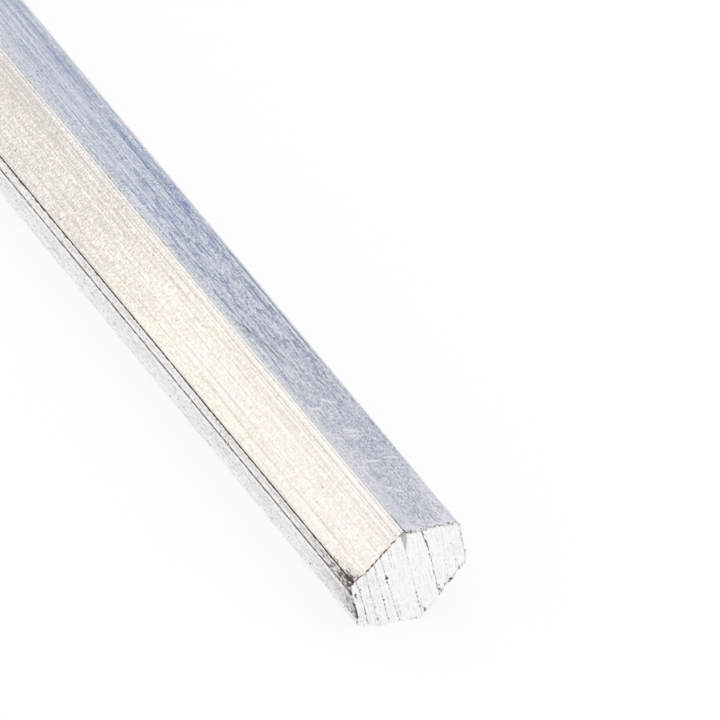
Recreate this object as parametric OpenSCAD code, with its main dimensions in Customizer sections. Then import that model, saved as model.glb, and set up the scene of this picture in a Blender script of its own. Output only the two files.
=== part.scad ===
// Hexagonal bar stock: one solid length of extruded bar, sawn square at both ends.
// The bar lies along X on one of its flats, with its middle over the origin.

/* [Bar] */
// Width across flats
across_flats = 19; // [8:0.5:60]
// Length between the sawn ends
bar_length = 300; // [50:1:1000]
// Radius of the six long edges
edge_radius = 1.5; // [0.2:0.1:3]

/* [Sawn ends] */
// Spacing of the saw lines
saw_pitch = 1.6; // [0.8:0.1:4]
// Width of one saw line at the surface
saw_line_width = 0.3; // [0.1:0.05:0.6]
// Depth of one saw line
saw_line_depth = 0.08; // [0.02:0.01:0.3]
// Width of the strip along one flat where the cut was finished
ledge_width = 5.5; // [1:0.5:6]
// How far that strip lies behind the rest of the end
ledge_drop = 0.25; // [0.05:0.05:1]

/* [Hidden] */

$fn = 64;
sides = 6;
side_angle = 360 / sides;
flat_to_centre = across_flats / 2;
// Angle of the flat that the saw blade ran parallel to, seen from the end
saw_flat_angle = side_angle / 2;
// Centres of the edge radii lie on this circle
edge_centre_radius = (flat_to_centre - edge_radius) / cos(side_angle / 2);
// Anything this long reaches right across an end
across_end = 2 * across_flats;
// Room that a cutter keeps outside the surface it cuts
cutter_clearance = 1;

function on_circle(radius, angle) = radius * [cos(angle), sin(angle)];

// The two points of one edge radius where it runs into the flats beside it
function edge_tangents(corner) = [
    for (turn = [-side_angle / 2, side_angle / 2])
        on_circle(edge_centre_radius, corner) + on_circle(edge_radius, corner + turn)
];

// Hexagon with flats above and below, and rounded corners
module bar_section() {
    corners = [for (i = [0 : sides - 1]) i * side_angle];
    polygon([for (corner = corners) each edge_tangents(corner)]);
    for (corner = corners)
        translate(on_circle(edge_centre_radius, corner)) circle(edge_radius);
}

// V-shaped groove that runs across an end at height z = 0, a given way from the centre
module saw_line(from_centre) {
    half_width = saw_line_width / 2;
    translate([from_centre, 0, 0]) rotate([90, 0, 0])
        linear_extrude(across_end, center = true) polygon([
            [0, -saw_line_depth],
            [half_width, 0],
            [half_width, cutter_clearance],
            [-half_width, cutter_clearance],
            [-half_width, 0],
        ]);
}

// Evenly spaced saw lines between two places across an end
module saw_lines(from, to) {
    for (place = [from + saw_pitch / 2 : saw_pitch : to - saw_line_width])
        saw_line(place);
}

// What the saw took from an end whose outer plane is z = 0
module sawn_away() {
    ledge_start = flat_to_centre - ledge_width;
    saw_lines(-flat_to_centre, ledge_start);
    translate([ledge_start, -across_end / 2, -ledge_drop])
        cube([across_end, across_end, ledge_drop + cutter_clearance]);
    translate([0, 0, -ledge_drop]) saw_lines(ledge_start, flat_to_centre);
}

module hex_bar() {
    color("gainsboro")
        translate([0, 0, flat_to_centre]) rotate([90, 0, 90]) difference() {
            linear_extrude(bar_length, center = true) bar_section();
            for (turn = [0, 180])
                rotate([0, turn, 0]) translate([0, 0, bar_length / 2])
                    rotate([0, 0, saw_flat_angle]) sawn_away();
        }
}

hex_bar();
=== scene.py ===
# %% [markdown]
# # A length of hexagonal bar stock
# The photo shows the end of an extruded aluminium bar on white ground. Two broad flats run away from the
# viewer, a sliver of a third lies in their shade, and the sawn end faces the lower right. The bar is one
# piece of metal, so this lesson models one piece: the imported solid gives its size, and the piece adds what
# a saw, a die and some handling leave on such a bar.

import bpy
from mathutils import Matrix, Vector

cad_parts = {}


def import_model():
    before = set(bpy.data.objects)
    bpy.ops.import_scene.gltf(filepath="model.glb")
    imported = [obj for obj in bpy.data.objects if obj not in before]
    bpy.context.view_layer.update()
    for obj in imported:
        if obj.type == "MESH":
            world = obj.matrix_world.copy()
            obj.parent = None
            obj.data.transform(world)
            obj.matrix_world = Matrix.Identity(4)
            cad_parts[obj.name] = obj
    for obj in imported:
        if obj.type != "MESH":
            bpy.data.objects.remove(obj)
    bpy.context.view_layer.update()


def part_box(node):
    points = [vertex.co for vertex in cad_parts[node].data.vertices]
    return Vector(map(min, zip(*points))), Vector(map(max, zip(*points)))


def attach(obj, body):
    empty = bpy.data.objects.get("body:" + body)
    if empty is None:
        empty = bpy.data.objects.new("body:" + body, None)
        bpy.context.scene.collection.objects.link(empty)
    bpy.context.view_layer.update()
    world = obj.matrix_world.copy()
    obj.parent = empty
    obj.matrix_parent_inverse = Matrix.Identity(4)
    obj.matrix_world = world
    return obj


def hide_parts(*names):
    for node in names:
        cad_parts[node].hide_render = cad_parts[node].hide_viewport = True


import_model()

# %% [markdown]
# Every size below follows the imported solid, so the piece fits it. A rounded corner reaches less far out
# than a sharp one would, and the difference gives the radius of the long edges.

# %% Read the bar's sizes
import math

import bmesh
import bpy
import numpy as np
from mathutils import Matrix, Vector

MM = 0.001
CORNER_HALF_ANGLE = math.radians(30)

low, high = (Vector(corner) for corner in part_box("hex_bar"))
bar_length = high.x - low.x
half_length = bar_length / 2
flat_to_centre = (high.z - low.z) / 2
axis_height = low.z + flat_to_centre
sharp_corner = flat_to_centre / math.cos(CORNER_HALF_ANGLE)
edge_radius = (sharp_corner - high.y) / (1 / math.cos(CORNER_HALF_ANGLE) - 1)
edge_offset = edge_radius * math.tan(CORNER_HALF_ANGLE)
flat_width = sharp_corner - 2 * edge_offset
print(f"bar {bar_length / MM:.1f} mm long, {2 * flat_to_centre / MM:.2f} mm across flats")
print(f"edge radius {edge_radius / MM:.2f} mm, flats {flat_width / MM:.2f} mm wide between the radii")

# %% [markdown]
# The bar hardly narrows towards its far end, so the photo was taken from far away with a long lens. The
# camera stands two and a half metres off, to the front right and above, and is turned until the bar runs
# down the picture as steeply as in the photo. Its place is worked out from the pixel where the end's middle
# falls.

# %% Place the camera
IMAGE_SIZE = 720
SENSOR_MM = 36.0
FOCAL_PIXELS = 17000.0
CAMERA_DISTANCE = 2.464
CAMERA_REACH = 100
AZIMUTH = math.radians(41.06)
ELEVATION = math.radians(37.04)
ROLL = math.radians(22.42)
END_PIXEL_X = 409.8
END_PIXEL_Y = 576.1

to_camera = Vector((
    math.sin(AZIMUTH) * math.cos(ELEVATION),
    -math.cos(AZIMUTH) * math.cos(ELEVATION),
    math.sin(ELEVATION),
))
level_right = Vector((math.cos(AZIMUTH), math.sin(AZIMUTH), 0))
level_up = to_camera.cross(level_right)
right = level_right * math.cos(ROLL) + level_up * math.sin(ROLL)
up = to_camera.cross(right)
end_middle = Vector((half_length, 0, axis_height))
pixel = CAMERA_DISTANCE / FOCAL_PIXELS
camera_place = (
    end_middle
    + to_camera * CAMERA_DISTANCE
    - right * (END_PIXEL_X - IMAGE_SIZE / 2) * pixel
    + up * (END_PIXEL_Y - IMAGE_SIZE / 2) * pixel
)
camera_turn = Matrix((right, up, to_camera)).transposed()

bpy.ops.object.select_all(action="DESELECT")
bpy.ops.object.camera_add(location=camera_place, rotation=camera_turn.to_euler())
camera = bpy.context.object
camera.name = "photo_camera"
camera.data.sensor_width = SENSOR_MM
camera.data.lens = FOCAL_PIXELS / IMAGE_SIZE * SENSOR_MM
camera.data.clip_end = CAMERA_REACH
bpy.context.scene.camera = camera
print(f"camera {CAMERA_DISTANCE} m from the end, lens {camera.data.lens:.0f} mm")

# %% [markdown]
# The ground is plain and white, and fills the picture from any side. Under soft light matt white looks a
# little grey, so part of what the camera and the metal see is plain white. The rest is lit and keeps the
# bar's shadow.

# %% Lay the floor
FLOOR_WIDTH = 16.0
FLOOR_COLOUR = (0.94, 0.94, 0.94, 1)
FLOOR_WHITE_SHARE = 0.8


def add_node(tree, kind, sockets=None, output=0, **settings):
    """A new shader node's output. A socket gets a plain value, or a link from an output."""
    made = tree.nodes.new("ShaderNode" + kind)
    for name, value in settings.items():
        setattr(made, name, value)
    for name, value in (sockets or {}).items():
        if isinstance(value, bpy.types.NodeSocket):
            tree.links.new(value, made.inputs[name])
        else:
            made.inputs[name].default_value = value
    return made.outputs[output]


def math_node(tree, operation, first, second):
    """The result of one sum."""
    return add_node(tree, "Math", {0: first, 1: second}, operation=operation)


def show(tree, kind, shader):
    """Connects a shader with a new output node."""
    tree.links.new(shader, tree.nodes.new("ShaderNodeOutput" + kind).inputs["Surface"])


def new_material(name):
    """An empty node material and its node tree."""
    material = bpy.data.materials.new(name)
    material.use_nodes = True
    material.node_tree.nodes.clear()
    return material, material.node_tree


bpy.ops.object.select_all(action="DESELECT")
bpy.ops.mesh.primitive_plane_add(size=FLOOR_WIDTH, location=(0, 0, low.z))
floor = bpy.context.object
floor.name = "floor"
floor_paint, tree = new_material("pale_floor")
ray = add_node(tree, "LightPath").node.outputs
seen = math_node(tree, "MAXIMUM", ray["Is Camera Ray"], ray["Is Glossy Ray"])
white_share = math_node(tree, "MULTIPLY", seen, FLOOR_WHITE_SHARE)
lit_floor = add_node(tree, "BsdfDiffuse", {"Color": FLOOR_COLOUR})
white_floor = add_node(tree, "Emission")
both = add_node(tree, "MixShader", {0: white_share, 1: lit_floor, 2: white_floor})
show(tree, "Material", both)
floor.data.materials.append(floor_paint)
print("floor", FLOOR_WIDTH, "m wide")

# %% [markdown]
# Bare metal shows what stands around it, so the light makes its colours. The upper flat mirrors the cool
# back wall of the studio, and a warm soft box low at the front fills the broad front flat. Another stands
# low beyond the sawn end and brightens it. A large one near the camera lets the bar's shadow fall behind
# it, out of sight, and one overhead lights the rounded edge between the two broad flats. The wall gets
# lighter with height, so that fine lines in the metal show as streaks.

# %% Light the studio
WALL_HORIZON = (0.7, 0.705, 0.75, 1)
WALL_MIDDLE = (0.71, 0.725, 0.78, 1)
WALL_TOP = (0.9, 0.9, 0.93, 1)
WALL_MIDDLE_HEIGHT = 0.60

world = bpy.data.worlds.new("studio")
bpy.context.scene.world = world
world.use_nodes = True
tree = world.node_tree
tree.nodes.clear()
direction = add_node(tree, "TexCoord")
height = add_node(tree, "SeparateXYZ", {"Vector": direction}, "Z")
wall = add_node(tree, "ValToRGB", {"Fac": height})
steps = wall.node.color_ramp.elements
steps[0].color = WALL_HORIZON
steps[1].color = WALL_TOP
steps.new(WALL_MIDDLE_HEIGHT).color = WALL_MIDDLE
show(tree, "World", add_node(tree, "Background", {"Color": wall}))


def soft_box(name, towards, distance, width, height, radiance):
    """An area lamp that faces the bar from a direction. Its radiance is what a mirror would show of it."""
    towards = Vector(towards).normalized()
    place = Vector((0, 0, axis_height)) + towards * distance
    facing = towards.to_track_quat("Z", "Y").to_euler()
    bpy.ops.object.light_add(type="AREA", location=place, rotation=facing)
    lamp = bpy.context.object
    lamp.name = name
    lamp.visible_camera = False
    lamp.data.shape = "RECTANGLE"
    lamp.data.size = width
    lamp.data.size_y = height
    strongest = max(radiance)
    lamp.data.color = [part / strongest for part in radiance]
    lamp.data.energy = strongest * math.pi * width * height
    print(f"{name}: {width} by {height} m at {distance} m, {lamp.data.energy:.2f} W")


soft_box("warm_front_box", (-0.42, -0.86, 0.28), 0.8, 1.1, 0.7, (0.49, 0.405, 0.277))
soft_box("camera_side_box", (0.35, -0.6, 0.72), 1.6, 2.4, 2.4, (0.55, 0.52, 0.45))
soft_box("end_side_box", (0.66, 0.73, 0.16), 0.9, 1.0, 0.7, (0.55, 0.55, 0.54))
soft_box("overhead_box", (-0.45, -0.15, 0.88), 1.2, 0.8, 0.8, (0.55, 0.49, 0.33))

# %% [markdown]
# The bar starts as a six-sided tube, open at both ends, lying along X on one flat. Extruded edges are never
# sharp, and a bevel with several segments gives them their radius. The die leaves lines along the bar, so
# the flats are divided into narrow lanes, and these into stations.

# %% Start the bar as a six-sided tube
EDGE_SEGMENTS = 10
LANES = 60
STATIONS = 100
END_STATIONS = (0.2 * MM, 0.6 * MM, 1.5 * MM)
MERGE = 1e-7


def mode(name):
    """Goes into edit mode or object mode."""
    bpy.ops.object.mode_set(mode=name)


def pick(kind, test):
    """In edit mode, selects only the vertices, edges or faces that a test accepts, and counts them."""
    bpy.ops.mesh.select_mode(type=kind)
    bpy.ops.mesh.select_all(action="DESELECT")
    mesh = bmesh.from_edit_mesh(bpy.context.object.data)
    parts = {"VERT": mesh.verts, "EDGE": mesh.edges, "FACE": mesh.faces}[kind]
    found = [part for part in parts if test(part)]
    for part in found:
        part.select_set(True)
    bmesh.update_edit_mesh(bpy.context.object.data)
    return len(found)


def runs_along(edge):
    """True for an edge that lies along the bar."""
    step = edge.verts[1].co - edge.verts[0].co
    return abs(step.x) > 0.5 * step.length


bpy.ops.object.select_all(action="DESELECT")
bpy.ops.mesh.primitive_cylinder_add(
    vertices=6,
    radius=sharp_corner,
    depth=bar_length,
    end_fill_type="NOTHING",
    location=(0, 0, axis_height),
    rotation=(0, math.pi / 2, 0),
)
bar = bpy.context.object
bar.name = "hex_bar_stock"
bpy.ops.object.transform_apply()
mode("EDIT")
print("long edges to round:", pick("EDGE", runs_along))
bpy.ops.mesh.bevel(offset=edge_offset, segments=EDGE_SEGMENTS)
wide_edges = pick("EDGE", lambda edge: not runs_along(edge) and edge.calc_length() > flat_width / 2)
bpy.ops.mesh.subdivide(number_cuts=LANES - 1)
lines_along = pick("EDGE", runs_along)
bpy.ops.mesh.subdivide(number_cuts=STATIONS - 1)
for side in (-1, 1):
    for station in END_STATIONS:
        bpy.ops.mesh.select_all(action="SELECT")
        cut_place = (side * (half_length - station), 0, 0)
        bpy.ops.mesh.bisect(plane_co=cut_place, plane_no=(1, 0, 0), threshold=MERGE)
mode("OBJECT")
print(f"{wide_edges} ends of flats, {lines_along} lines along, {len(bar.data.vertices)} vertices")

# %% [markdown]
# A saw blade leaves fine parallel lines straight across the cut, beside one pair of flats. The end is
# closed with one face, and a narrow rim is inset in it, where the cut meets the flats. The part inside the
# rim is cut into strips along the saw lines. A mesh of its own keeps this quick.

# %% Cut the end face into strips
RIM_WIDTH = 0.12 * MM
STRIP_WIDTH = 0.11 * MM
STRIP_PIECE = 0.5 * MM
STRIP_MERGE = 1e-8
SAW_ANGLE = math.radians(30)
TINY = 1e-6

across_saw = Vector((0, math.cos(SAW_ANGLE), math.sin(SAW_ANGLE)))
along_saw = Vector((0, -math.sin(SAW_ANGLE), math.cos(SAW_ANGLE)))


def select_only(*pieces):
    """Selects some pieces and nothing else. The last of them is the active one."""
    bpy.ops.object.select_all(action="DESELECT")
    for piece in pieces:
        piece.select_set(True)
    bpy.context.view_layer.objects.active = pieces[-1]


def at_near_end(part):
    """True for an edge or a face that lies on the near end."""
    return all(vertex.co.x > half_length - TINY for vertex in part.verts)


mode("EDIT")
pick("EDGE", at_near_end)
bpy.ops.mesh.edge_face_add()
bpy.ops.mesh.inset(thickness=RIM_WIDTH)
mill_finish, mill_tree = new_material("mill_finish")
sawn_face, saw_tree = new_material("sawn_face")
for material in (mill_finish, sawn_face):
    bar.data.materials.append(material)
bar.active_material_index = 1
bpy.ops.object.material_slot_assign()
pick("FACE", at_near_end)
bpy.ops.mesh.separate(type="SELECTED")
mode("OBJECT")
end_face = next(piece for piece in bpy.context.selected_objects if piece != bar)
end_face.name = "near_end_face"
end_face.active_material_index = 1
select_only(end_face)


def cut_strips(direction, spacing, reach):
    """Cuts the part inside the rim by planes square to a direction, and counts them."""
    count = int(reach / spacing)
    for number in range(-count, count + 1):
        pick("FACE", lambda face: face.material_index == 1)
        cut_place = end_middle + direction * (number + 0.5) * spacing
        bpy.ops.mesh.bisect(plane_co=cut_place, plane_no=direction, threshold=STRIP_MERGE)
    return 2 * count + 1


mode("EDIT")
strips = cut_strips(across_saw, STRIP_WIDTH, flat_to_centre)
rows = cut_strips(along_saw, STRIP_PIECE, sharp_corner)
bpy.ops.mesh.select_all(action="SELECT")
bpy.ops.object.material_slot_assign()
mode("OBJECT")
print(f"{strips} cuts along the saw lines, {rows} across, {len(end_face.data.polygons)} faces")

# %% [markdown]
# Both ends are sawn alike. A copy of the end face, turned half round, closes the far end, and all is joined
# into one mesh.

# %% Close both ends
WELD = 2e-6

bpy.ops.object.duplicate()
far_face = bpy.context.object
far_face.name = "far_end_face"
far_face.rotation_euler = (0, 0, math.pi)
bpy.ops.object.transform_apply()
select_only(end_face, far_face, bar)
bpy.ops.object.join()
mode("EDIT")
bpy.ops.mesh.select_all(action="SELECT")
bpy.ops.mesh.remove_doubles(threshold=WELD)
bpy.ops.mesh.normals_make_consistent()
bpy.ops.mesh.select_mode(type="VERT")
bpy.ops.mesh.select_all(action="DESELECT")
bpy.ops.mesh.select_non_manifold()
mode("OBJECT")
open_vertices = sum(vertex.select for vertex in bar.data.vertices)
print(f"{len(bar.data.vertices)} vertices, {len(bar.data.polygons)} faces, {open_vertices} open vertices")

# %% [markdown]
# Every mark that follows has a place on the bar: so far along it, and so far round its section. The way
# round is counted from the middle of the top flat, forwards over the front edges. On an end, a place is
# given across and along the saw lines. The far end's places are turned back half round first, so that a
# mark comes on both ends.

# %% Measure where every vertex lies
half_flat = flat_width / 2
face_pitch = flat_width + edge_radius * math.pi / 3
arc_centre = flat_to_centre - edge_radius


def way_round(y, z):
    """How far round the section a point lies, and how deep it is inside the outline."""
    number = np.round((np.degrees(np.arctan2(z, y)) - 90) / 60)
    angle = np.radians(90 + 60 * number)
    out = y * np.cos(angle) + z * np.sin(angle)
    past_middle = z * np.cos(angle) - y * np.sin(angle)
    past_flat = np.maximum(np.abs(past_middle) - half_flat, 0)
    on_flat = past_flat == 0
    arc = edge_radius * np.arctan2(past_flat, out - arc_centre)
    place = number * face_pitch + np.where(on_flat, past_middle, np.sign(past_middle) * (half_flat + arc))
    depth = np.where(on_flat, flat_to_centre - out, edge_radius - np.hypot(past_flat, out - arc_centre))
    return (place + 3 * face_pitch) % (6 * face_pitch) - 3 * face_pitch, depth


def read_all(items, name, size=1, kind=float):
    """One value, or several, of every item in a list of the mesh."""
    values = np.empty(size * len(items), dtype=kind)
    items.foreach_get(name, values)
    return values


places = read_all(bar.data.vertices, "co", 3).reshape(-1, 3)
run = places[:, 0]
end_sign = np.where(run < 0, -1.0, 1.0)
level = places[:, 2] - axis_height
turned_y = places[:, 1] * end_sign
turn = way_round(places[:, 1], level)[0]
end_turn, inside = way_round(turned_y, level)
to_end = half_length - np.abs(run)
saw_across = turned_y * across_saw.y + level * across_saw.z
saw_along = turned_y * along_saw.y + level * along_saw.z
on_end = to_end < TINY
on_skin = inside < RIM_WIDTH / 2
on_rim = on_end & (inside < 1.5 * RIM_WIDTH)
on_cut = on_end & ~on_rim
dirt_and_painted_shade = np.zeros(len(run))
print(f"{on_skin.sum()} vertices on the skin, {on_rim.sum()} on the rims, {on_cut.sum()} inside them")

# %% [markdown]
# The die's lips are never quite smooth, and the metal carries their scratches along its whole length. A
# Displace modifier with a noise that is drawn out along the bar gives them, fine ones and broad ones. An
# empty scales the texture, and is removed afterwards.

# %% Draw the die lines
# Name, length, width and height in mm
DIE_LINES = (("fine_die_lines", 70, 0.35, 0.012), ("broad_die_lines", 45, 2.2, 0.03))


def roughen(name, chosen, sizes, height, axis="NORMAL", turned=0.0, middle=0.5):
    """Moves the chosen vertices by a noise whose grains have the given sizes, with an applied modifier."""
    group = bar.vertex_groups.new(name=name)
    group.add(np.flatnonzero(chosen).tolist(), 1, "REPLACE")
    bpy.ops.object.select_all(action="DESELECT")
    bpy.ops.object.empty_add(rotation=(turned, 0, 0))
    ruler = bpy.context.object
    ruler.scale = sizes
    bpy.context.view_layer.update()
    texture = bpy.data.textures.new(name, type="CLOUDS")
    texture.noise_scale = 1
    texture.noise_depth = 2
    bpy.context.view_layer.objects.active = bar
    modifier = bar.modifiers.new(name, "DISPLACE")
    modifier.texture = texture
    modifier.texture_coords = "OBJECT"
    modifier.texture_coords_object = ruler
    modifier.direction = axis
    modifier.vertex_group = name
    modifier.mid_level = middle
    modifier.strength = height
    bpy.ops.object.modifier_apply(modifier=name)
    bar.vertex_groups.clear()
    bpy.data.objects.remove(ruler)
    bpy.data.textures.remove(texture)
    print(f"{name}: {chosen.sum()} vertices")


for name, length, width, height in DIE_LINES:
    roughen(name, on_skin & ~on_end, (length * MM, width * MM, width * MM), height * MM)

# %% [markdown]
# A few lines are deeper than the rest and run the whole length: a pair of black ones along the front
# corner, grooves painted dark as painted shade, and fine ones beside the front edges. Each is one or more
# lanes pressed in along their normals with Shrink/Fatten. A thin line of dirt runs under the top flat. The
# fine lines are duller or brighter than the metal beside them, and a number on their vertices keeps that,
# the film. The same number later also carries painted light and shade.

# %% Press the deep lines
UPPER_LINE = 4.58 * MM
BLACK_LINE = 15.46 * MM
SHADED_LINE = 17.66 * MM
LANE = flat_width / LANES
ONE_LANE = 1.1


def choose(chosen):
    """Goes into edit mode with only the chosen vertices selected."""
    bpy.context.tool_settings.mesh_select_mode = (True, False, False)
    for parts in (bar.data.polygons, bar.data.edges):
        parts.foreach_set("select", np.zeros(len(parts), dtype=bool))
    bar.data.vertices.foreach_set("select", chosen)
    mode("EDIT")


def darken(chosen, darkness):
    """Darkens the chosen vertices, where they aren't darker already: with dirt, and in grooves with painted
    shade.
    """
    dirt_and_painted_shade[chosen] = np.maximum(dirt_and_painted_shade[chosen], darkness)


def press(chosen, depth, darkness=0.0):
    """Presses the chosen vertices in along their normals, and darkens them: dirt, and painted shade in
    grooves.
    """
    choose(chosen)
    bpy.ops.transform.shrink_fatten(value=-depth)
    mode("OBJECT")
    darken(chosen, darkness)


def lanes_at(place, width):
    """The vertices of the long skin in a band round a place of the section, so many lanes wide."""
    return on_skin & (np.abs(turn - place) < width * LANE / 2)


# Place, width in lanes, depth in mm, and darkness: dirt on the upper line, painted shade on the others
for place, width, depth, darkness in (
    (UPPER_LINE, ONE_LANE, 0, 0.4),
    # Painted shade: the black and the shaded line are painted dark in their grooves.
    (BLACK_LINE, ONE_LANE, 0.1, 1),
    (BLACK_LINE, 2.4, 0.04, 0.36),
    (SHADED_LINE, 5.4, 0.06, 0.6),
    (SHADED_LINE, 3.4, 0.08, 0.92),
):
    press(lanes_at(place, width), depth * MM, darkness)

film_and_painted_light = np.zeros(len(run))
# Place and depth in mm, and how much duller the line is
for place, depth, dull in (
    (3.85, 0, 0.1), (4.31, 0, -0.5), (4.46, 0.01, 0.35), (4.62, -0.015, 0.1), (4.78, 0, -0.6),
    (4.93, 0.03, -0.6), (5.09, 0, 0.5), (5.4, 0, 0.08), (5.56, 0, 0.1), (5.88, 0.025, 0.4),
    (6.03, 0, 0.6), (6.19, 0, -0.2), (6.34, 0, 0.15), (6.5, 0.01, 0.38), (6.65, 0, -0.2),
    (7.04, 0.01, 0.15), (7.35, 0.02, 0.28), (7.88, 0, 0.12), (8, 0, 0.32), (9.6, 0.015, 0.25),
    (11.85, 0.015, 0.25), (12.8, 0, 0.1), (13.1, 0.02, 0.5), (14.5, 0, 0.1), (15.15, 0, 0.45),
    (15.9, 0, 0.28), (16.06, 0, 0.25), (16.37, 0, -0.28), (16.53, 0, -0.42), (16.69, 0, -0.2),
    (18.45, -0.01, -0.6), (18.61, -0.02, -0.6), (18.77, -0.02, -0.6), (18.93, -0.01, -0.6),
):
    hairline = lanes_at(place * MM, ONE_LANE)
    press(hairline, depth * MM)
    film_and_painted_light[hairline] += dull
print(f"{np.count_nonzero(dirt_and_painted_shade)} vertices hold dirt, {np.count_nonzero(film_and_painted_light)} a film")

# %% [markdown]
# The saw's teeth leave a grain of fine lines, a few deeper ones, and a ledge where the last of the metal
# broke away before the blade was through. The grain is noise again. The deeper lines are pressed in one by
# one and darkened in their grooves as painted shade, and the ledge is moved in as a whole. Its edge wavers,
# and bends away near the top of the end. Its wall and the cut beside it are darkened as painted shade.

# %% Saw the ends
SAW_GRAIN_WIDTH = 0.2 * MM
SAW_GRAIN_LENGTH = 6 * MM
SAW_GRAIN_HEIGHT = 0.05 * MM
SAW_LINE_WIDTH = 0.2 * MM
LEDGE_PLACE = 3.95 * MM
LEDGE_BEND = 8.0
LEDGE_WAVE = 0.11 * MM
SHORT_WAVE = 0.45 * MM
LONG_WAVE = 1.3 * MM
LEDGE_DROP = 0.25 * MM
LEDGE_WALL = 0.14 * MM
WALL_SHADE = 0.52
DARK_WALL_START = 3.6 * MM
DEEP_WALL_SHADE = 0.78
BAND_PLACE = 0.4 * MM
BAND_DROP = 0.05 * MM
SKIN_REACH = 0.7 * MM


def move_along_bar(chosen, distance, reach=0.0):
    """Moves the chosen vertices of both ends outwards along the bar, and those within a reach with them."""
    for sign in (1, -1):
        choose(chosen & (end_sign == sign))
        bpy.ops.transform.translate(
            value=(sign * distance, 0, 0),
            use_proportional_edit=reach > 0,
            proportional_size=max(reach, MM),
        )
        mode("OBJECT")


for sign, turned in ((1, SAW_ANGLE), (-1, math.pi - SAW_ANGLE)):
    one_end = on_cut & (end_sign == sign)
    roughen("saw_grain", one_end, (1, SAW_GRAIN_WIDTH, SAW_GRAIN_LENGTH), SAW_GRAIN_HEIGHT, "X", turned)

# Place at the middle, slope, start and end along the line, depth (all in mm) and painted shade in the groove
for place, slope, start, stop, depth, darkness in (
    (-8.07, -0.03, -12, 12, 0.08, 0.44), (-7.55, -0.03, -6, 1, 0.03, 0.22),
    (-6.54, -0.022, -12, 12, 0.07, 0.38), (-5.75, -0.022, -4, 7, 0.03, 0.22),
    (-4.93, -0.023, -12, 12, 0.08, 0.44), (-4.25, -0.023, -12, 3, 0.03, 0.24),
    (-3.5, -0.044, -12, 12, 0.08, 0.44), (-2.95, -0.03, -12, -3, 0.03, 0.28),
    (-2.37, -0.02, 4.4, 12, 0.05, 0.34), (-1.9, -0.02, 3.8, 12, 0.04, 0.32),
    (-1, -0.02, 5.4, 12, 0.04, 0.32), (0.4, -0.01, -10.5, -4.6, 0.08, 0.48),
    (0.4, -0.01, -4.6, 6.2, 0.05, 0.3), (6, 0, -6, 5, 0.03, 0.26),
    (7.7, 0, -5, 4, 0.03, 0.22),
):
    beside = np.abs(saw_across - place * MM - slope * saw_along)
    within = (saw_along > start * MM) & (saw_along < stop * MM)
    press(on_cut & within & (beside < SAW_LINE_WIDTH / 2), depth * MM, darkness)

ledge_edge = LEDGE_PLACE - LEDGE_BEND * np.maximum(saw_along, 0) ** 2
ledge_edge += LEDGE_WAVE * np.sin(saw_along / SHORT_WAVE) * np.sin(saw_along / LONG_WAVE)
past_ledge = saw_across - ledge_edge
end_part = on_end | (on_skin & (to_end < SKIN_REACH))
move_along_bar(end_part & (past_ledge > 0), -LEDGE_DROP)
move_along_bar(end_part & (saw_across > BAND_PLACE) & (past_ledge <= 0), -BAND_DROP)
# Painted shade: the ledge's wall and the cut just beside it are darkened, more so near the top.
on_wall = on_cut & (np.abs(past_ledge) < LEDGE_WALL)
dirt_and_painted_shade[on_wall] = np.where(saw_along > DARK_WALL_START, DEEP_WALL_SHADE, WALL_SHADE)[on_wall]
print(f"ledge dropped by {LEDGE_DROP / MM:.2f} mm, {on_wall.sum()} vertices on its wall")

# %% [markdown]
# Where the cut meets the flats the edge is ragged. Along the front flat the teeth left a row of dark nicks,
# and the edge below them is torn. The nicks wander a little, so that they don't look like stitches.

# %% Nick the front edges
NICK_PITCH = 1.4 * MM
NICK_SHARE = 0.6
NICK_WANDER = 0.5 * MM
WANDER_LENGTH = 0.9 * MM
NICK_DEPTH = 0.12 * MM
NICK_DARKNESS = 0.85
NICK_SHADE = 0.20
NICKED_RIM_DARKNESS = 0.55
TEAR_DEPTH = 0.1 * MM
TEAR_LENGTH = 1.1 * MM
TORN_DIRT = 0.8
UNDER_DIRT = 0.42
RING_WIDTH = 0.3 * MM


def round_to(start, stop):
    """True between two places round the section, in mm, on either end."""
    return (end_turn > start * MM) & (end_turn < stop * MM)


edge_ring = on_rim | (on_skin & (to_end < RING_WIDTH))
near_edge = edge_ring & round_to(6.2, 15.0)
wander = NICK_WANDER * np.sin(end_turn / WANDER_LENGTH)
nicks = near_edge & ((end_turn + wander) % NICK_PITCH < NICK_SHARE * NICK_PITCH)
move_along_bar(nicks & on_rim, -NICK_DEPTH)
# The nicks and the rim beside them are darkened.
dirt_and_painted_shade[near_edge & on_rim] = NICKED_RIM_DARKNESS
dirt_and_painted_shade[nicks] = np.where(on_rim, NICK_DARKNESS, NICK_SHADE)[nicks]
under_edge = edge_ring & round_to(15.0, 26.0)
move_along_bar(under_edge & on_rim, -TEAR_DEPTH)
torn_bits = np.sin(end_turn / SHORT_WAVE) + np.sin(end_turn / TEAR_LENGTH) > 0
darken(under_edge & torn_bits, TORN_DIRT)
darken(under_edge & ~torn_bits, UNDER_DIRT)
print(f"{nicks.sum()} vertices in nicks, {under_edge.sum()} on the torn edge")

# %% [markdown]
# A burr stands up along the top flat, and smaller ones along the other edges. Noise moves the rim along the
# bar, and a little sideways for a ragged outline. Dirt clings to the rims, and is smeared over the end
# beside one of them.

# %% Raise the burrs
BURR_SIZE = 0.4 * MM
BURR_MIDDLE = 0.42
OUTLINE_MIDDLE = 0.52
OUTLINE_SHARE = 0.25
SMEAR_WIDTH = 0.55 * MM
SMEAR_DIRT = 0.36
# Start and stop round the section, and height, in mm
BURRS = ((-6, 5, 2.4), (-16, -6, 0.8), (-22.6, -16, 1), (15, 26, 1.2))

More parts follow.
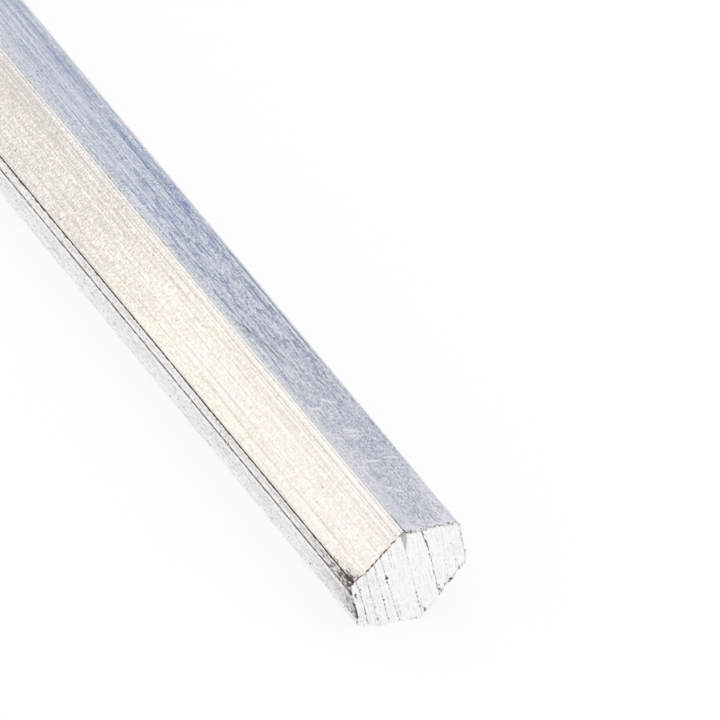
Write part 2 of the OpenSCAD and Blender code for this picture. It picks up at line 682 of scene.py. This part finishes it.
for sign in (1, -1):
    for start, stop, height in BURRS:
        edge = on_rim & round_to(start, stop) & (end_sign == sign)
        grains = (BURR_SIZE,) * 3
        roughen("burr", edge, grains, sign * height * MM, "X", middle=BURR_MIDDLE)
        roughen("ragged_outline", edge, grains, OUTLINE_SHARE * height * MM, middle=OUTLINE_MIDDLE)
# Start and stop round the section in mm, and dirt
for start, stop, darkness in (
    (-5.5, 5, 0.42), (-16, -5.5, 0.32), (-22.6, -16, 0.34),
    (-18.7, -16.8, 0.55), (-20.4, -19.4, 0.6), (-27, -22.6, 0.2),
):
    darken(on_rim & round_to(start, stop), darkness)
darken(on_end & (inside < SMEAR_WIDTH) & round_to(-20.6, -16.4), SMEAR_DIRT)
print("burrs along", len(BURRS), "edges of each end")

# %% [markdown]
# The corners of the ends were knocked, some inwards and some outwards, so they are moved with proportional
# editing. Pits lie along the saw lines, and the upper front corner lost a chip, which left a wedge in the
# cut that is painted grey as shade.

# %% Knock the corners and pit the ends
KNOCK_WIDTH = 0.6
KNOCKED_DIRT = 0.5
PIT_STRETCH = 0.6
CHIP_TIP = 5.7 * MM
CHIP_PLACE = 0.25 * MM
CHIP_LEAN = 0.08
CHIP_SPREAD = 0.14
CHIP_DEPTH = 0.10 * MM
CHIP_SHADE = 0.20

# Place round the section, how far the corner was pushed, and how far that reaches, in mm
for place, push, reach in (
    (3.9, -0.4, 1.4), (15.8, -0.4, 3), (27, -0.6, 3.5),
    (-27, 0.35, 4.5), (-16.2, -0.3, 3), (-5.4, 0.15, 3),
):
    corner = on_rim & round_to(place - KNOCK_WIDTH / 2, place + KNOCK_WIDTH / 2)
    move_along_bar(corner, push * MM, reach * MM)

# Across and along the saw lines, size, depth (in mm) and dirt
for across, along, size, depth, darkness in (
    (-3.7, 1.7, 0.2, 0.06, 0.75), (-3.6, 2.84, 0.26, 0.08, 0.85), (-5.36, 3.1, 0.15, 0.04, 0.4),
    (4.26, -7.95, 0.19, 0.08, 0.8), (4.2, -6.8, 0.19, 0.08, 0.8), (0.67, -8.6, 0.25, 0.05, 0.42),
    (1.03, -9.6, 0.28, 0.05, 0.55), (1.7, 0.6, 0.2, 0.03, 0.22), (-0.5, -2.3, 0.18, 0.03, 0.2),
    (7.8, -3.3, 0.26, 0.04, 0.5), (7.4, 1.3, 0.18, 0.03, 0.45), (-8.9, 3.1, 0.26, 0.08, 0.7),
    (6.2, -6.7, 0.24, 0.05, 0.45), (5.2, -7.5, 0.22, 0.05, 0.45), (-7.85, 3.6, 0.18, 0.04, 0.6),
    (-8.95, 6, 0.24, 0.06, 0.75), (-6.35, -2.3, 0.16, 0.03, 0.5), (-4.8, -1.6, 0.16, 0.03, 0.48),
    (-6.45, 0.7, 0.16, 0.03, 0.45), (-1.7, -9.8, 0.24, 0.03, 0.5), (-0.6, -10.2, 0.2, 0.03, 0.45),
    (3.94, 0.5, 0.18, 0.05, 0.75), (5.6, 3.9, 0.18, 0.03, 0.4),
):
    pit = np.hypot(saw_across - across * MM, (saw_along - along * MM) * PIT_STRETCH) < size * MM
    press(on_cut & pit, depth * MM, darkness)

# Painted shade: the chip's wedge is pressed in and darkened.
from_tip = saw_along - CHIP_TIP
from_middle = np.abs(saw_across - CHIP_PLACE - CHIP_LEAN * from_tip)
chip = on_end & (from_tip > 0) & (from_middle < CHIP_SPREAD * from_tip)
press(chip, CHIP_DEPTH, CHIP_SHADE)
darken(edge_ring & round_to(3.2, 5.8), KNOCKED_DIRT)
print(f"{chip.sum()} vertices in the chips, {np.count_nonzero(dirt_and_painted_shade)} hold dirt")

# %% [markdown]
# The sheltered front corner is smudged towards the end: between its two deep lines, on the front flat above
# them, and over the lower flat. The thin line under the top flat loses its dirt in the near half, and shows
# again as a dash at the end. The materials read the dirt and the painted shade as one number on every
# vertex.

# %% Smudge the front corner
SMUDGE_LENGTH = 14 * MM
RUB_LENGTH = 6 * MM
DASH_PLACE = 4.35 * MM
DASH_WIDTH = 2.2
DASH_START = 0.4 * MM
DASH_STOP = 5 * MM
DASH_DIRT = 0.42
CLEAN_START = 86 * MM
CLEAN_FULL = 104 * MM
CLEANED_SHARE = 0.8


def fade_in(value, start, stop):
    """0 before a start, 1 after a stop, and even between them."""
    return np.clip((value - start) / np.maximum(stop - start, TINY), 0, 1)


def soft(value, start, full, fading, gone):
    """1 between two places, 0 outside them, with an even slope at each side. The places are in mm."""
    return fade_in(value, start * MM, full * MM) * (1 - fade_in(value, fading * MM, gone * MM))


def keep(name, values):
    """Keeps a number for every vertex on the mesh."""
    bar.data.attributes.new(name, "FLOAT", "POINT").data.foreach_set("value", values)


smudge = np.zeros(len(run))
# Dirt, where it lies round the section in mm, and how far it reaches from the end
for darkness, around, reach in (
    (0.66, (14.5, 15.4, 17, 17.3), SMUDGE_LENGTH),
    (0.62, (12.8, 14.8, 15.5, 15.5), RUB_LENGTH),
    (0.52, (18.9, 19.4, 25, 25), SMUDGE_LENGTH),
    (0.5, (16.9, 17.2, 25, 25), RUB_LENGTH),
):
    smudge = np.maximum(smudge, darkness * soft(end_turn, *around) * (1 - fade_in(to_end, 0, reach)))
dirt_and_painted_shade = np.where(on_skin, np.maximum(dirt_and_painted_shade, smudge), dirt_and_painted_shade)
cleaned = lanes_at(UPPER_LINE, ONE_LANE) * fade_in(run, CLEAN_START, CLEAN_FULL)
dirt_and_painted_shade *= 1 - CLEANED_SHARE * cleaned
dash = on_skin & (np.abs(end_turn - DASH_PLACE) < DASH_WIDTH * LANE / 2)
darken(dash & (to_end > DASH_START) & (to_end < DASH_STOP), DASH_DIRT)
# This number holds dirt and also painted shade: in grooves, on the ledge's wall and in the chip.
keep("dirt_and_painted_shade", dirt_and_painted_shade)
print(f"mean dirt {dirt_and_painted_shade.mean():.3f}, {np.count_nonzero(smudge)} vertices smudged")

# %% [markdown]
# The top flat has rubbed on other bars, and its dull colour is a painted reflection of the cool back wall.
# Hands have polished it along the front edge, in a wedge that widens towards the end, and fine scores cross
# the middle of what the photo shows. A film dulls the flats: it lies along the back of the top flat and on
# the front flat, except near the end, where it was wiped off.

# %% Rub, polish and dull the flats
POLISH_START = 105 * MM
POLISH_FADE = 20 * MM
POLISH_LENGTH = 45 * MM
POLISH_WIDTH = 3.0 * MM
POLISH_BLEND = 0.8 * MM
UPPER_EDGE_END = 5.85 * MM
UPPER_EDGE_SHARE = 0.7
WORN_LENGTH = 3 * MM
WORN_FILM = -0.25
BARE_FILM = -0.55
FAR = 1000
ALL = (-FAR, -FAR, FAR, FAR)
SKIN = True


def before(fading, gone):
    """A stretch without a start."""
    return -FAR, -FAR, fading, gone


def after(start, full):
    """A stretch without an end."""
    return start, full, FAR, FAR


def layered(*areas):
    """The sum of soft areas: an amount, a part of the skin, and stretches round and along the bar."""
    total = np.zeros(len(run))
    for amount, part, around, along in areas:
        total += amount * part * soft(turn, *around) * soft(run, *along)
    return total


on_top = np.abs(turn) < half_flat
on_front = (turn > half_flat) & (turn < BLACK_LINE)
on_back_edge = (turn > -5.6 * MM) & (turn < -half_flat)
front_share = on_front * np.where(turn < UPPER_EDGE_END, UPPER_EDGE_SHARE, 1)
middle_stretch = (84, 92, 106, 120)

past_polish = np.abs(run) - POLISH_START
polish_edge = half_flat - POLISH_WIDTH * fade_in(past_polish, 0, POLISH_LENGTH)
polished = fade_in(end_turn, polish_edge, polish_edge + POLISH_BLEND)
keep("polished", polished * fade_in(past_polish, 0, POLISH_FADE))
# Painted reflection: this number also gives the top flat the cool wall's blue as its dull colour.
keep("top_wear_and_painted_reflection", soft(turn, -5.4, -4.8, 3.2, 4.4))
keep("scored", soft(run, *after(55, 85)) - 0.8 * soft(run, *after(110, 125)))

# Amount, part of the skin, and where it begins and ends round the section and along the bar, in mm
film_and_painted_light += layered(
    (0.34, front_share, ALL, before(70, 95)),
    (0.02, front_share, ALL, ALL),
    (0.25, on_front, before(8, 10), before(48, 62)),
    (0.24, on_top, (-4, -3.7, -2.9, -2.3), before(100, 125)),
    (-0.2, on_back_edge, ALL, before(60, 84)),
    (-0.3, on_back_edge, ALL, after(132, 142)),
    (0.6, lanes_at(-4.66 * MM, 2.1), ALL, middle_stretch),
    (-0.7, lanes_at(-4.34 * MM, 2.1), ALL, middle_stretch),
    (0.17, on_top, (-3.6, -2.6, -2.2, -0.5), (108, 120, 132, 140)),
    (-0.12, on_top, after(0.3, 2.6), before(110, 120)),
    (-0.15, on_top, after(1, 2.4), after(112, 122)),
    (-0.105, on_top, (-0.8, 0.4, 1.6, 1.6), after(130, 138)),
    (-0.25, on_top, before(-3, -3), after(134, 146)),
    (0.2, SKIN, (15.5, 15.5, 16.4, 16.4), after(108, 128)),
    # Painted light: the lower flat is lightened towards the ground, against the shade under the bar that it
    # mirrors.
    (-0.1, SKIN, (18.4, 18.4, 27, 27), ALL),
    (-0.2, SKIN, (20.5, 24.5, 27, 27), ALL),
    (0.3, SKIN, before(-5.6, -5.6), ALL),
    (0.3, SKIN, after(27.5, 27.5), ALL),
)
film_and_painted_light += on_top * WORN_FILM * (1 - fade_in(to_end, 0, WORN_LENGTH))
film_and_painted_light += on_top * BARE_FILM * (to_end < RING_WIDTH)
# Painted shade: on the ends this number paints the chip grey.
film_and_painted_light[on_end] = chip[on_end]
keep("film_and_painted_light", film_and_painted_light)
print(f"film from {film_and_painted_light.min():.2f} to {film_and_painted_light.max():.2f}")

# %% [markdown]
# The metal is speckled, more on the top flat's middle and along its front side than near the end. A faint
# yellow tint lies along both sides of the front flat.

# %% Speckle and tint the flats
speckled = layered(
    (0.65, ~(on_top | on_front), ALL, ALL),
    (0.1, on_front, ALL, ALL),
    (0.65, on_front, ALL, before(72, 92)),
    (0.7, on_top, ALL, ALL),
    (0.6, on_top, ALL, after(50, 85)),
    (-0.85, on_top, ALL, after(100, 120)),
    (0.7, on_top, after(3.3, 3.3), ALL),
)
warm_sides = on_front * (soft(turn, *before(7.8, 8.8)) + soft(turn, *after(11.8, 12.8)))
warm = layered((1.0, warm_sides, ALL, after(66, 84)), (-0.7, warm_sides, ALL, after(122, 134)))
keep("speckled", speckled)
keep("warm", warm)
print(f"speckle from {speckled.min():.2f} to {speckled.max():.2f}, {np.count_nonzero(warm)} vertices tinted")

# %% [markdown]
# An unwrapping of its own gives the long flats the whole width of the picture, with the two ends in a strip
# above them, so fine lines along the bar stay sharp.

# %% Unwrap the bar
SKIN_SHARE = 0.8
END_STRIP_BOTTOM = 0.82
END_SCALE = 0.17 / (2 * sharp_corner)
NEAR_END_MIDDLE = 0.75
FAR_END_MIDDLE = 0.25

sheet = bar.data.uv_layers.new(name="OFBake")
corner_vertex = read_all(bar.data.loops, "vertex_index", kind=int)
face_sizes = read_all(bar.data.polygons, "loop_total", kind=int)
face_kind = read_all(bar.data.polygons, "material_index", kind=int)
first_corner = np.concatenate([[0], np.cumsum(face_sizes)[:-1]])
first_turn = np.repeat(turn[corner_vertex[first_corner]], face_sizes)
whole_turn = 6 * face_pitch
corner_turn = turn[corner_vertex]
corner_turn = first_turn + (corner_turn - first_turn + whole_turn / 2) % whole_turn - whole_turn / 2
across_sheet = run[corner_vertex] / bar_length + 0.5
up_sheet = (corner_turn / whole_turn + 0.5) * SKIN_SHARE
is_end = np.repeat(face_kind == 1, face_sizes)
end_middle_u = np.where(end_sign[corner_vertex] > 0, NEAR_END_MIDDLE, FAR_END_MIDDLE)
across_sheet[is_end] = (end_middle_u + turned_y[corner_vertex] * END_SCALE)[is_end]
up_sheet[is_end] = (END_STRIP_BOTTOM + (level[corner_vertex] + sharp_corner) * END_SCALE)[is_end]
sheet.data.foreach_set("uv", np.column_stack([across_sheet, up_sheet]).ravel())
print(f"unwrapped {len(corner_vertex)} corners")

# %% [markdown]
# The die leaves lines along the bar, the saw across its end. Both materials need such lines, so they come
# from one node group: a noise, drawn out in one direction, as long and as wide as asked.

# %% Make the tool lines group
FLOAT = "NodeSocketFloat"
VECTOR = "NodeSocketVector"
LINE_NOISE = (0.32, 0.68)


def new_group(name, inputs, result):
    """A node group with named sockets, and its input and output nodes."""
    tree = bpy.data.node_groups.new(name, "ShaderNodeTree")
    for socket, kind in inputs.items():
        tree.interface.new_socket(socket, in_out="INPUT", socket_type=kind)
    tree.interface.new_socket(result, in_out="OUTPUT", socket_type=FLOAT)
    return tree, tree.nodes.new("NodeGroupInput").outputs, tree.nodes.new("NodeGroupOutput").inputs


def vector_node(tree, operation, first, second):
    """The result of one sum with vectors."""
    return add_node(tree, "VectorMath", {0: first, 1: second}, operation=operation)


def remap(tree, value, start, stop, least=0.0, most=1.0):
    """A value moved from one range to another, and held inside it."""
    sockets = {"Value": value, "From Min": start, "From Max": stop, "To Min": least, "To Max": most}
    return add_node(tree, "MapRange", sockets)


def noise_node(tree, vector, detail, roughness=0.5, distortion=0.0):
    """A noise whose grains are one unit large."""
    sockets = {"Vector": vector, "Scale": 1.0, "Detail": detail, "Roughness": roughness}
    return add_node(tree, "TexNoise", {**sockets, "Distortion": distortion})


inputs = {"Vector": VECTOR, "Length": FLOAT, "Width": FLOAT, "Waviness": FLOAT, "Shift": FLOAT}
tool_lines, given, result = new_group("tool_lines", inputs, "Lines")
sockets = {"X": given["Length"], "Y": given["Width"], "Z": given["Width"]}
grain = add_node(tool_lines, "CombineXYZ", sockets)
scaled = vector_node(tool_lines, "DIVIDE", given["Vector"], grain)
moved = vector_node(tool_lines, "ADD", scaled, given["Shift"])
noise = noise_node(tool_lines, moved, 2.0, 0.6, given["Waviness"])
tool_lines.links.new(remap(tool_lines, noise, *LINE_NOISE), result["Lines"])


def lines_of(tree, vector, length, width, waviness=0.0, shift=0.0):
    """The tool lines group placed in a material, with the lines' sizes in mm."""
    sizes = {"Length": length * MM, "Width": width * MM, "Waviness": waviness, "Shift": shift}
    return add_node(tree, "Group", {"Vector": vector, **sizes}, node_tree=tool_lines)


print("node group:", tool_lines.name)

# %% [markdown]
# Dirt is never even. A second group turns the mesh's number for dirt and painted shade into a mask that is
# partly even, and partly flecks, which grow together as the number rises. Both materials use it.

# %% Make the uneven dirt and shade group
FLECK_SHARE = 0.7
FLECK_GROWTH = 1.3
FLECK_EDGE = 0.35
FLECK_NOISE = (0.28, 0.72)


def mix(tree, factor, first, second):
    """A mix of two numbers."""
    return add_node(tree, "Mix", {0: factor, 2: first, 3: second}, data_type="FLOAT")


inputs = {"Vector": VECTOR, "Amount": FLOAT, "Grain": VECTOR}
uneven_dirt_and_shade, given, result = new_group("uneven_dirt_and_shade", inputs, "Mask")
scaled = vector_node(uneven_dirt_and_shade, "DIVIDE", given["Vector"], given["Grain"])
spread = remap(uneven_dirt_and_shade, noise_node(uneven_dirt_and_shade, scaled, 2.0), *FLECK_NOISE)
grown = math_node(uneven_dirt_and_shade, "MULTIPLY", given["Amount"], FLECK_GROWTH)
over = math_node(uneven_dirt_and_shade, "SUBTRACT", math_node(uneven_dirt_and_shade, "ADD", spread, grown), 1.0)
flecks = remap(uneven_dirt_and_shade, over, 0.0, FLECK_EDGE)
uneven_dirt_and_shade.links.new(mix(uneven_dirt_and_shade, FLECK_SHARE, given["Amount"], flecks), result["Mask"])


def attribute(tree, name):
    """A number that the mesh holds on its vertices."""
    return add_node(tree, "Attribute", None, "Fac", attribute_name=name)


def dirt_and_shade_of(tree, vector, grain):
    """The uneven dirt and shade group placed in a material."""
    sockets = {"Vector": vector, "Amount": attribute(tree, "dirt_and_painted_shade"), "Grain": grain}
    return add_node(tree, "Group", sockets, node_tree=uneven_dirt_and_shade)


print("node group:", uneven_dirt_and_shade.name)

# %% [markdown]
# Handling leaves single marks: a row of pale ones across the top flat, where something sharp chattered over
# it, dark scratches, and a small stain. Each is a group with a soft spot that a Mapping node places, turns
# and draws out, broken up by a noise.

# %% Make the single marks
CRUMB_SIZE = 0.5 * MM
CRUMB_NOISE = (0.37, 0.56)
MARK_STRENGTH = 5.0
# Along the bar, round from the middle of the top flat, length and width, all in mm, and angle in degrees
PALE_MARKS = (
    (123, 2.5, 0.6, 2.4, -8), (122.2, -0.7, 0.6, 2.8, -32), (129.4, 2.8, 0.5, 2.4, -22),
    (128.6, -0.3, 0.6, 3, -24), (129.7, -0.4, 0.5, 2.4, -11), (135.1, 0.4, 0.6, 3.4, -12),
    (135.8, 2.7, 0.4, 2.4, -8), (135.2, -3.2, 0.4, 3, -13), (141.4, 0.4, 0.6, 3, -36),
    (146.6, -3.2, 0.8, 1.2, 0), (141.7, -4.5, 0.6, 0.6, 0), (83.2, -4.85, 0.6, 0.9, 0),
    (56.4, -3.6, 0.5, 0.6, 0), (43, -4.05, 0.5, 0.6, 0), (63.6, -4.05, 0.5, 0.6, 0),
)
STAIN_MARKS = ((146.5, -4.05, 0.9, 0.8, 0),)
DARK_MARKS = ((104.9, 2.81, 6.6, 0.7, 18), (110.2, 1.7, 7, 0.6, 5))

inputs = {"Vector": VECTOR, "Location": VECTOR, "Rotation": VECTOR, "Scale": VECTOR}
single_mark, given, result = new_group("single_mark", inputs, "Mask")
sockets = {name: given[name] for name in inputs}
spot_frame = add_node(single_mark, "Mapping", sockets, vector_type="TEXTURE")
spot = add_node(single_mark, "TexGradient", {"Vector": spot_frame}, "Fac", gradient_type="SPHERICAL")
sockets = {"Vector": given["Vector"], "Scale": 1 / CRUMB_SIZE, "Detail": 2.0}
crumbs = add_node(single_mark, "TexNoise", sockets)
broken = remap(single_mark, crumbs, *CRUMB_NOISE)
mask = math_node(single_mark, "MULTIPLY", spot, broken)
single_mark.links.new(math_node(single_mark, "MULTIPLY", mask, MARK_STRENGTH), result["Mask"])


def marks_of(tree, vector, marks):
    """A mask of all the marks in a list."""
    total = 0.0
    for along, around, length, width, angle in marks:
        sockets = {
            "Vector": vector,
            "Location": (along * MM, -around * MM, high.z),
            "Rotation": (0, 0, math.radians(angle)),
            "Scale": (length / 2 * MM, width / 2 * MM, MM),
        }
        mark = add_node(tree, "Group", sockets, node_tree=single_mark)
        total = math_node(tree, "MAXIMUM", mark, total)
    return total


print("node group:", single_mark.name)

# %% [markdown]
# Mill finish is bare metal as it left the die: bright, with fine lines along the bar and a weave of small
# marks across them. The material first works out a tone for every place, from bright to dull. On the front
# flat it is the weave, coarser towards the far end. Flats that look down are streaky instead, with dull
# spots.

# %% Weave the mill finish
WEAVE_FAR_GAIN = 2.4
WEAVE_NEAR_GAIN = 1.5
STREAK_GAIN = 1.4
DULL_SPOT_START = 0.78
DULL_SPOT_DEPTH = 0.6
RIPPLE_START = 78 * MM
RIPPLE_FULL = 116 * MM
LEVEL_BLEND = 0.2


def weighed(tree, *parts):
    """The sum of some values, each times its weight."""
    total = 0.0
    for value, weight in parts:
        total = math_node(tree, "ADD", math_node(tree, "MULTIPLY", value, weight), total)
    return total


def stretch(tree, value, gain):
    """A value with its contrast raised about the middle."""
    return remap(tree, value, 0.5 - 0.5 / gain, 0.5 + 0.5 / gain)


tree = mill_tree
coordinates = add_node(tree, "TexCoord").node.outputs
place = coordinates["Object"]
along = add_node(tree, "SeparateXYZ", {"Vector": place})
upward = add_node(tree, "SeparateXYZ", {"Vector": coordinates["Normal"]}, "Z")
rippled = remap(tree, along, RIPPLE_START, RIPPLE_FULL)
lower = remap(tree, upward, LEVEL_BLEND, -LEVEL_BLEND)
fine = lines_of(tree, place, 12, 0.18)
ticks = lines_of(tree, place, 0.22, 0.55, shift=3.0)
grains = lines_of(tree, place, 0.32, 0.26, shift=11.0)
streaks = lines_of(tree, place, 3.2, 0.7, waviness=0.3, shift=23.0)
dull_spots = lines_of(tree, place, 0.8, 0.8, shift=29.0)
dull_spots = remap(tree, dull_spots, DULL_SPOT_START, 1.0, 0.0, DULL_SPOT_DEPTH)
weave = weighed(tree, (ticks, 0.4), (grains, 0.3), (fine, 0.3))
streaky = stretch(tree, weighed(tree, (streaks, 0.5), (weave, 0.5)), STREAK_GAIN)
weave = mix(tree, rippled, stretch(tree, weave, WEAVE_FAR_GAIN), stretch(tree, weave, WEAVE_NEAR_GAIN))
side_tone = mix(tree, lower, weave, math_node(tree, "ADD", streaky, dull_spots))
print("patterns:", sum(node.type == "GROUP" for node in tree.nodes))

# %% [markdown]
# The top flat is rubbed duller and more streaky than the others, and the blue of its dull colour is a
# painted reflection of the cool wall. Its lines are long in the middle of the bar and break up into dashes
# and ripples near the end. Thin wavering scores come from where a noise crosses its middle. The films, the
# speckle and the pale marks are added to the tone last.

# %% Rub the top flat
FAR_GAIN = 2.1
NEAR_GAIN = 2.55
SCORE_SIZE = (8 * MM, 0.9 * MM, 0.9 * MM)
SCORE_THICKNESS = 0.06
SCORE_WAVINESS = 0.3
SCORE_DEPTH = 0.75
SCORE_LIFT = 0.12
POLISHED_TONE = 0.36
POLISHED_GRAIN = 0.3
DEEPEST_TONE = 1.3

broad = lines_of(tree, place, 30, 0.4, shift=7.0)
dashes = lines_of(tree, place, 2.2, 0.2, waviness=0.3, shift=5.0)
ripples = lines_of(tree, place, 0.5, 0.3, waviness=0.6, shift=13.0)
patches = lines_of(tree, place, 9, 3.5, shift=17.0)
speckle = lines_of(tree, place, 0.25, 0.22, shift=31.15)
speckle = math_node(tree, "MULTIPLY", math_node(tree, "SUBTRACT", speckle, 0.5), attribute(tree, "speckled"))
far_top = weighed(tree, (fine, 0.42), (broad, 0.14), (dashes, 0.24), (grains, 0.2))
near_top = weighed(tree, (fine, 0.14), (dashes, 0.2), (ripples, 0.34), (grains, 0.24), (patches, 0.08))
top_tone = mix(tree, rippled, stretch(tree, far_top, FAR_GAIN), stretch(tree, near_top, NEAR_GAIN))

crossing = noise_node(tree, vector_node(tree, "DIVIDE", place, SCORE_SIZE), 1.0, distortion=SCORE_WAVINESS)
off_middle = math_node(tree, "SUBTRACT", crossing, 0.5)
off_middle = add_node(tree, "Math", {0: off_middle}, operation="ABSOLUTE")
scores = remap(tree, off_middle, 0.0, SCORE_THICKNESS, 1.0, 0.0)
score_depth = math_node(tree, "MULTIPLY", attribute(tree, "scored"), SCORE_DEPTH)
score_tone = math_node(tree, "MULTIPLY", scores, score_depth)
top_tone = weighed(tree, (top_tone, 1.0), (score_tone, 1.0), (score_depth, -SCORE_LIFT))
polished_tone = mix(tree, POLISHED_GRAIN, POLISHED_TONE, top_tone)
top_tone = mix(tree, attribute(tree, "polished"), top_tone, polished_tone)

top_wear_and_painted_reflection = attribute(tree, "top_wear_and_painted_reflection")
tone = mix(tree, top_wear_and_painted_reflection, side_tone, top_tone)
tone = weighed(tree, (tone, 1.0), (attribute(tree, "film_and_painted_light"), 1.0), (speckle, 1.0))
tone = math_node(tree, "SUBTRACT", tone, marks_of(tree, place, PALE_MARKS))
tone = add_node(tree, "Clamp", {"Value": tone, "Max": DEEPEST_TONE})
print("marks on the top flat:", len(PALE_MARKS) + len(DARK_MARKS) + len(STAIN_MARKS))

# %% [markdown]
# The tone blends bright metal with a dull colour. On the top flat that is a painted reflection of the cool
# wall, blue, and lavender near its end; it is between pink and grey on the front flat, and rose below. Over
# that lie the yellow tint, the stain, the dirt and painted shade, and dark specks, which are sparse
# everywhere and dense on the lower flats. The tone also changes the roughness a little, and the surface's
# slope by a Bump node.

# %% Colour the mill finish
BRIGHT_METAL = (0.975, 0.975, 0.975, 1)
PAINTED_WALL_BLUE = (0.43, 0.483, 0.63, 1)
PAINTED_WALL_LAVENDER = (0.45, 0.475, 0.575, 1)
DULL_PINK = (0.69, 0.666, 0.68, 1)
DULL_GREY = (0.67, 0.672, 0.665, 1)
DULL_ROSE = (0.7, 0.655, 0.65, 1)
WARM_TINT = (1.0, 1.0, 0.965, 1)
STAIN = (0.66, 0.7, 0.36, 1)
# The dark colour of dirt, also used for painted shade.
DIRT_AND_SHADE = (0.072, 0.049, 0.044, 1)
DIRT_AND_SHADE_GRAIN = (0.7 * MM, 0.3 * MM, 0.3 * MM)
SCRATCH_DIRT = 0.19
MILL_ROUGHNESS = 0.28
TONE_ROUGHNESS = 0.12
DIRT_AND_SHADE_ROUGHNESS = 0.35
MILL_RELIEF = 0.4
RELIEF_HEIGHT = 0.02 * MM
# Spacing, size of the dark middle and of the whole speck as shares of the spacing, and dirt
SPARSE_SPECKS = (3.0 * MM, 0.03, 0.07, 0.45)
DENSE_SPECKS = (0.7 * MM, 0.12, 0.27, 0.8)


def blend(tree, factor, first, second, **settings):
    """A mix of two colours."""
    return add_node(tree, "Mix", {0: factor, 6: first, 7: second}, 2, data_type="RGBA", **settings)


def specks_of(tree, vector, spacing, middle, size, darkness):
    """Dark specks, one in every cell of a Voronoi texture."""
    cells = add_node(tree, "TexVoronoi", {"Vector": vector, "Scale": 1 / spacing})
    return remap(tree, cells, middle, size, darkness, 0.0)


def metal_shader(tree, colour, rough, height, relief):
    """A metal of a colour and roughness that vary, with a fine relief."""
    bump = add_node(tree, "Bump", {"Height": height, "Strength": relief, "Distance": RELIEF_HEIGHT})
    sockets = {"Base Color": colour, "Metallic": 1.0, "Roughness": rough, "Normal": bump}
    show(tree, "Material", add_node(tree, "BsdfPrincipled", sockets))


# Painted reflection: the top flat's dull colour is the cool wall's blue, lavender near the end.
painted_top_reflection = blend(tree, rippled, PAINTED_WALL_BLUE, PAINTED_WALL_LAVENDER)
dull_side = blend(tree, lower, blend(tree, patches, DULL_PINK, DULL_GREY), DULL_ROSE)
metal = blend(tree, tone, BRIGHT_METAL, blend(tree, top_wear_and_painted_reflection, dull_side, painted_top_reflection), clamp_factor=False)
metal = blend(tree, attribute(tree, "warm"), metal, WARM_TINT, blend_type="MULTIPLY")
metal = blend(tree, marks_of(tree, place, STAIN_MARKS), metal, STAIN)
# Painted shade comes in with the dirt through this mask.
dirt_and_shade_mask = dirt_and_shade_of(tree, place, DIRT_AND_SHADE_GRAIN)
low_specks = math_node(tree, "MULTIPLY", specks_of(tree, place, *DENSE_SPECKS), lower)
scratch = math_node(tree, "MULTIPLY", marks_of(tree, place, DARK_MARKS), SCRATCH_DIRT)
for dark in (specks_of(tree, place, *SPARSE_SPECKS), low_specks, scratch):
    dirt_and_shade_mask = math_node(tree, "MAXIMUM", dirt_and_shade_mask, dark)
rough = weighed(tree, (tone, TONE_ROUGHNESS), (dirt_and_shade_mask, DIRT_AND_SHADE_ROUGHNESS), (1.0, MILL_ROUGHNESS))
metal_shader(tree, blend(tree, dirt_and_shade_mask, metal, DIRT_AND_SHADE), rough, tone, MILL_RELIEF)
print("material:", mill_finish.name)

# %% [markdown]
# The sawn face is the same metal, freshly cut: brighter, rougher, and lined across. A Mapping node turns
# the tool lines so that they run with the saw. The cut is calmer on the side where the blade left it, and
# the film number paints the chip grey, as painted shade.

# %% Make the sawn face
CUT_METAL = (0.985, 0.985, 0.985, 1)
TORN_METAL = (0.62, 0.62, 0.625, 1)
TORN_START = 0.42
CALM_START = -3 * MM
CALM_FULL = 1 * MM
CALM_TORN = 0.6
CUT_ROUGHNESS = 0.42
CUT_RELIEF = 0.3
CUT_DIRT_AND_SHADE_GRAIN = (0.6 * MM, 0.35 * MM, 0.5 * MM)

tree = saw_tree
place = add_node(tree, "TexCoord", None, "Object")
saw_turn = Matrix((along_saw, across_saw, along_saw.cross(across_saw))).to_euler()
mapped = add_node(tree, "Mapping", {"Vector": place, "Rotation": saw_turn})
scratches = lines_of(tree, mapped, 4, 0.2)
torn = lines_of(tree, mapped, 0.7, 0.3, waviness=0.6, shift=4.0)
tone = remap(tree, weighed(tree, (scratches, 0.55), (torn, 0.45)), TORN_START, 1.0)
across_line = add_node(tree, "SeparateXYZ", {"Vector": mapped}, "Y")
calm = remap(tree, across_line, CALM_START, CALM_FULL, 1.0, CALM_TORN)
tone = math_node(tree, "ADD", math_node(tree, "MULTIPLY", tone, calm), attribute(tree, "film_and_painted_light"))
metal = blend(tree, tone, CUT_METAL, TORN_METAL)
# Painted shade on the ledge's wall, the saw lines and the chip comes in with the dirt here.
colour = blend(tree, dirt_and_shade_of(tree, mapped, CUT_DIRT_AND_SHADE_GRAIN), metal, DIRT_AND_SHADE)
rough = weighed(tree, (tone, TONE_ROUGHNESS), (1.0, CUT_ROUGHNESS))
metal_shader(tree, colour, rough, tone, CUT_RELIEF)
print("material:", sawn_face.name)

# %% [markdown]
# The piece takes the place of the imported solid. Its faces are shaded smooth, except where they meet at an
# angle.

# %% Put the bar in place
SMOOTH_ANGLE = math.radians(35)

select_only(bar)
bpy.ops.object.shade_smooth_by_angle(angle=SMOOTH_ANGLE)
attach(bar, "root")
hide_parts("hex_bar")
triangles = sum(len(face.vertices) - 2 for face in bar.data.polygons)
print(f"{bar.name}: {triangles} triangles")

# %% [markdown]
# The colours are shown as they are lit.

# %% Show the colours as they are lit
bpy.context.scene.view_settings.view_transform = "Standard"
